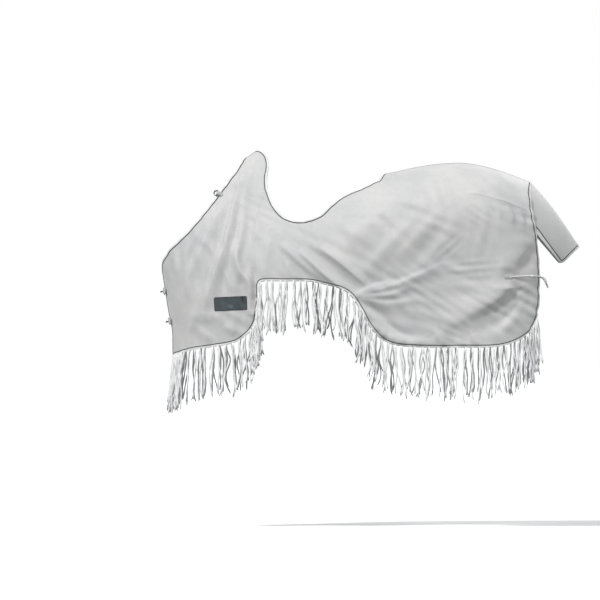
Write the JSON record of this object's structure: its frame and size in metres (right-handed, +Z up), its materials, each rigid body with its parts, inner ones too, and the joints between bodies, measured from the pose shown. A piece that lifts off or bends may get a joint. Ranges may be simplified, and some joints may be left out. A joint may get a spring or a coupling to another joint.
{
  "type": "fly sheet",
  "caption": "Riding fly sheet of fine light grey mesh with a saddle cut-out, corded and bound edges, a tail flap, chest hooks and a long cord fringe.",
  "frame": {"origin": "the sheet's underside on its centre line at the withers, where the horse's back carries it", "axes": "+X towards the tail, +Y towards the right side, +Z up"},
  "size_m": [1.8377, 0.6198, 1.1238],
  "materials": {
    "fly_mesh": "matt, fine open weave",
    "piping_cord": "matt twisted cord",
    "edge_tape": "satin woven tape",
    "fringe_cord": "matt soft cord",
    "tail_cord": "matt braided cord",
    "name_patch": "matt, smooth, blank",
    "webbing": "matt webbing",
    "hardware": "satin gunmetal"
  },
  "bodies": {
    "sheet": {"body_panel_left": "fly_mesh", "body_panel_right": "fly_mesh", "chest_binding_left": "edge_tape", "chest_binding_right": "edge_tape", "chest_hook_lower": "hardware", "chest_hook_upper": "hardware", "chest_piping_left": "piping_cord", "chest_piping_right": "piping_cord", "chest_strap_lower_left": "webbing", "chest_strap_lower_right": "webbing", "chest_strap_upper_left": "webbing", "chest_strap_upper_right": "webbing", "croup_tape": "edge_tape", "cutout_binding_left": "edge_tape", "cutout_binding_right": "edge_tape", "cutout_piping_left": "piping_cord", "cutout_piping_right": "piping_cord", "hem_binding_left": "edge_tape", "hem_binding_right": "edge_tape", "hem_piping_left": "piping_cord", "hem_piping_right": "piping_cord", "name_patch": "name_patch", "neck_binding_left": "edge_tape", "neck_binding_right": "edge_tape", "neck_piping_left": "piping_cord", "neck_piping_right": "piping_cord", "neck_strap_left": "webbing", "neck_strap_right": "webbing", "rear_binding_left": "edge_tape", "rear_binding_right": "edge_tape", "rear_piping_left": "piping_cord", "rear_piping_right": "piping_cord", "shoulder_panel_left": "fly_mesh", "shoulder_panel_right": "fly_mesh", "tail_cord": "tail_cord", "tail_cord_tab_left": "webbing", "tail_cord_tab_right": "webbing", "withers_tape": "edge_tape"},
    "fringe_chest_left": {"fringe_chest_left": "fringe_cord"},
    "fringe_chest_right": {"fringe_chest_right": "fringe_cord"},
    "fringe_shoulder_left": {"fringe_shoulder_left": "fringe_cord"},
    "fringe_shoulder_right": {"fringe_shoulder_right": "fringe_cord"},
    "fringe_girth_left": {"fringe_girth_left": "fringe_cord"},
    "fringe_girth_right": {"fringe_girth_right": "fringe_cord"},
    "fringe_slant_left": {"fringe_slant_left": "fringe_cord"},
    "fringe_slant_right": {"fringe_slant_right": "fringe_cord"},
    "fringe_flank_left": {"fringe_flank_left": "fringe_cord"},
    "fringe_flank_right": {"fringe_flank_right": "fringe_cord"},
    "fringe_rear_left": {"fringe_rear_left": "fringe_cord"},
    "fringe_rear_right": {"fringe_rear_right": "fringe_cord"},
    "chest_ring_upper": {"chest_ring_upper": "hardware"},
    "chest_gate_upper": {"chest_gate_upper": "hardware"},
    "chest_ring_lower": {"chest_ring_lower": "hardware"},
    "chest_gate_lower": {"chest_gate_lower": "hardware"},
    "neck_ring_left": {"neck_ring_left": "hardware"},
    "neck_ring_right": {"neck_ring_right": "hardware"},
    "tail_flap": {"tail_flap": "fly_mesh", "tail_flap_binding": "edge_tape", "tail_flap_piping": "piping_cord"}
  },
  "joints": [
    {"name": "fringe_chest_left_swing", "type": "hinge", "parent": "sheet", "child": "fringe_chest_left", "pos_m": [-0.35064, -0.09859, -0.88663], "axis": [-0.4631, 0.8723, -0.1569], "range_deg": [0, 35]},
    {"name": "fringe_chest_right_swing", "type": "hinge", "parent": "sheet", "child": "fringe_chest_right", "pos_m": [-0.35064, 0.09859, -0.88663], "axis": [0.4631, 0.8723, 0.1569], "range_deg": [0, 35]},
    {"name": "fringe_shoulder_left_swing", "type": "hinge", "parent": "sheet", "child": "fringe_shoulder_left", "pos_m": [-0.16987, -0.23155, -0.82602], "axis": [-0.9039, 0.2887, -0.3158], "range_deg": [0, 35]},
    {"name": "fringe_shoulder_right_swing", "type": "hinge", "parent": "sheet", "child": "fringe_shoulder_right", "pos_m": [-0.16987, 0.23155, -0.82602], "axis": [0.9039, 0.2887, 0.3158], "range_deg": [0, 35]},
    {"name": "fringe_girth_left_swing", "type": "hinge", "parent": "sheet", "child": "fringe_girth_left", "pos_m": [0.21675, -0.29303, -0.60708], "axis": [-0.9751, 0.1259, 0.1823], "range_deg": [0, 35]},
    {"name": "fringe_girth_right_swing", "type": "hinge", "parent": "sheet", "child": "fringe_girth_right", "pos_m": [0.21675, 0.29303, -0.60708], "axis": [0.9751, 0.1259, -0.1823], "range_deg": [0, 35]},
    {"name": "fringe_slant_left_swing", "type": "hinge", "parent": "sheet", "child": "fringe_slant_left", "pos_m": [0.50375, -0.30993, -0.74838], "axis": [-0.6551, 0.0007, 0.7556], "range_deg": [0, 35]},
    {"name": "fringe_slant_right_swing", "type": "hinge", "parent": "sheet", "child": "fringe_slant_right", "pos_m": [0.50375, 0.30993, -0.74838], "axis": [0.6551, 0.0007, -0.7556], "range_deg": [0, 35]},
    {"name": "fringe_flank_left_swing", "type": "hinge", "parent": "sheet", "child": "fringe_flank_left", "pos_m": [0.79583, -0.30208, -0.85472], "axis": [-0.9981, -0.0567, 0.0251], "range_deg": [0, 35]},
    {"name": "fringe_flank_right_swing", "type": "hinge", "parent": "sheet", "child": "fringe_flank_right", "pos_m": [0.79583, 0.30208, -0.85472], "axis": [0.9981, -0.0567, -0.0251], "range_deg": [0, 35]},
    {"name": "fringe_rear_left_swing", "type": "hinge", "parent": "sheet", "child": "fringe_rear_left", "pos_m": [1.10225, -0.26162, -0.82144], "axis": [-0.8835, -0.3152, -0.3464], "range_deg": [0, 35]},
    {"name": "fringe_rear_right_swing", "type": "hinge", "parent": "sheet", "child": "fringe_rear_right", "pos_m": [1.10225, 0.26162, -0.82144], "axis": [0.8835, -0.3152, 0.3464], "range_deg": [0, 35]},
    {"name": "chest_ring_upper_tilt", "type": "hinge", "parent": "sheet", "child": "chest_ring_upper", "pos_m": [-0.41326, 0.0266, -0.6144], "axis": [0.1554, 0, -0.9879], "range_deg": [0, 8]},
    {"name": "chest_gate_upper_open", "type": "hinge", "parent": "sheet", "child": "chest_gate_upper", "pos_m": [-0.42828, -0.0073, -0.61676], "axis": [0.1554, 0, -0.9879], "range_deg": [0, 22], "stiffness_Nm_per_rad": 0.02, "springref_deg": -17.19},
    {"name": "chest_ring_lower_tilt", "type": "hinge", "parent": "sheet", "child": "chest_ring_lower", "pos_m": [-0.39001, 0.0266, -0.74585], "axis": [0.2052, 0, -0.9787], "range_deg": [0, 8]},
    {"name": "chest_gate_lower_open", "type": "hinge", "parent": "sheet", "child": "chest_gate_lower", "pos_m": [-0.40489, -0.0073, -0.74896], "axis": [0.2052, 0, -0.9787], "range_deg": [0, 22], "stiffness_Nm_per_rad": 0.02, "springref_deg": -17.19},
    {"name": "neck_ring_left_tilt", "type": "hinge", "parent": "sheet", "child": "neck_ring_left", "pos_m": [-0.17778, -0.11155, -0.1847], "axis": [0.3013, 0.4353, 0.8483], "range_deg": [0, 100]},
    {"name": "neck_ring_right_tilt", "type": "hinge", "parent": "sheet", "child": "neck_ring_right", "pos_m": [-0.17778, 0.11155, -0.1847], "axis": [-0.3013, 0.4353, -0.8483], "range_deg": [0, 100]},
    {"name": "tail_flap_lift", "type": "hinge", "parent": "sheet", "child": "tail_flap", "pos_m": [1.201, 0, -0.144], "axis": [0, -1, 0], "range_deg": [0, 30]}
  ]
}
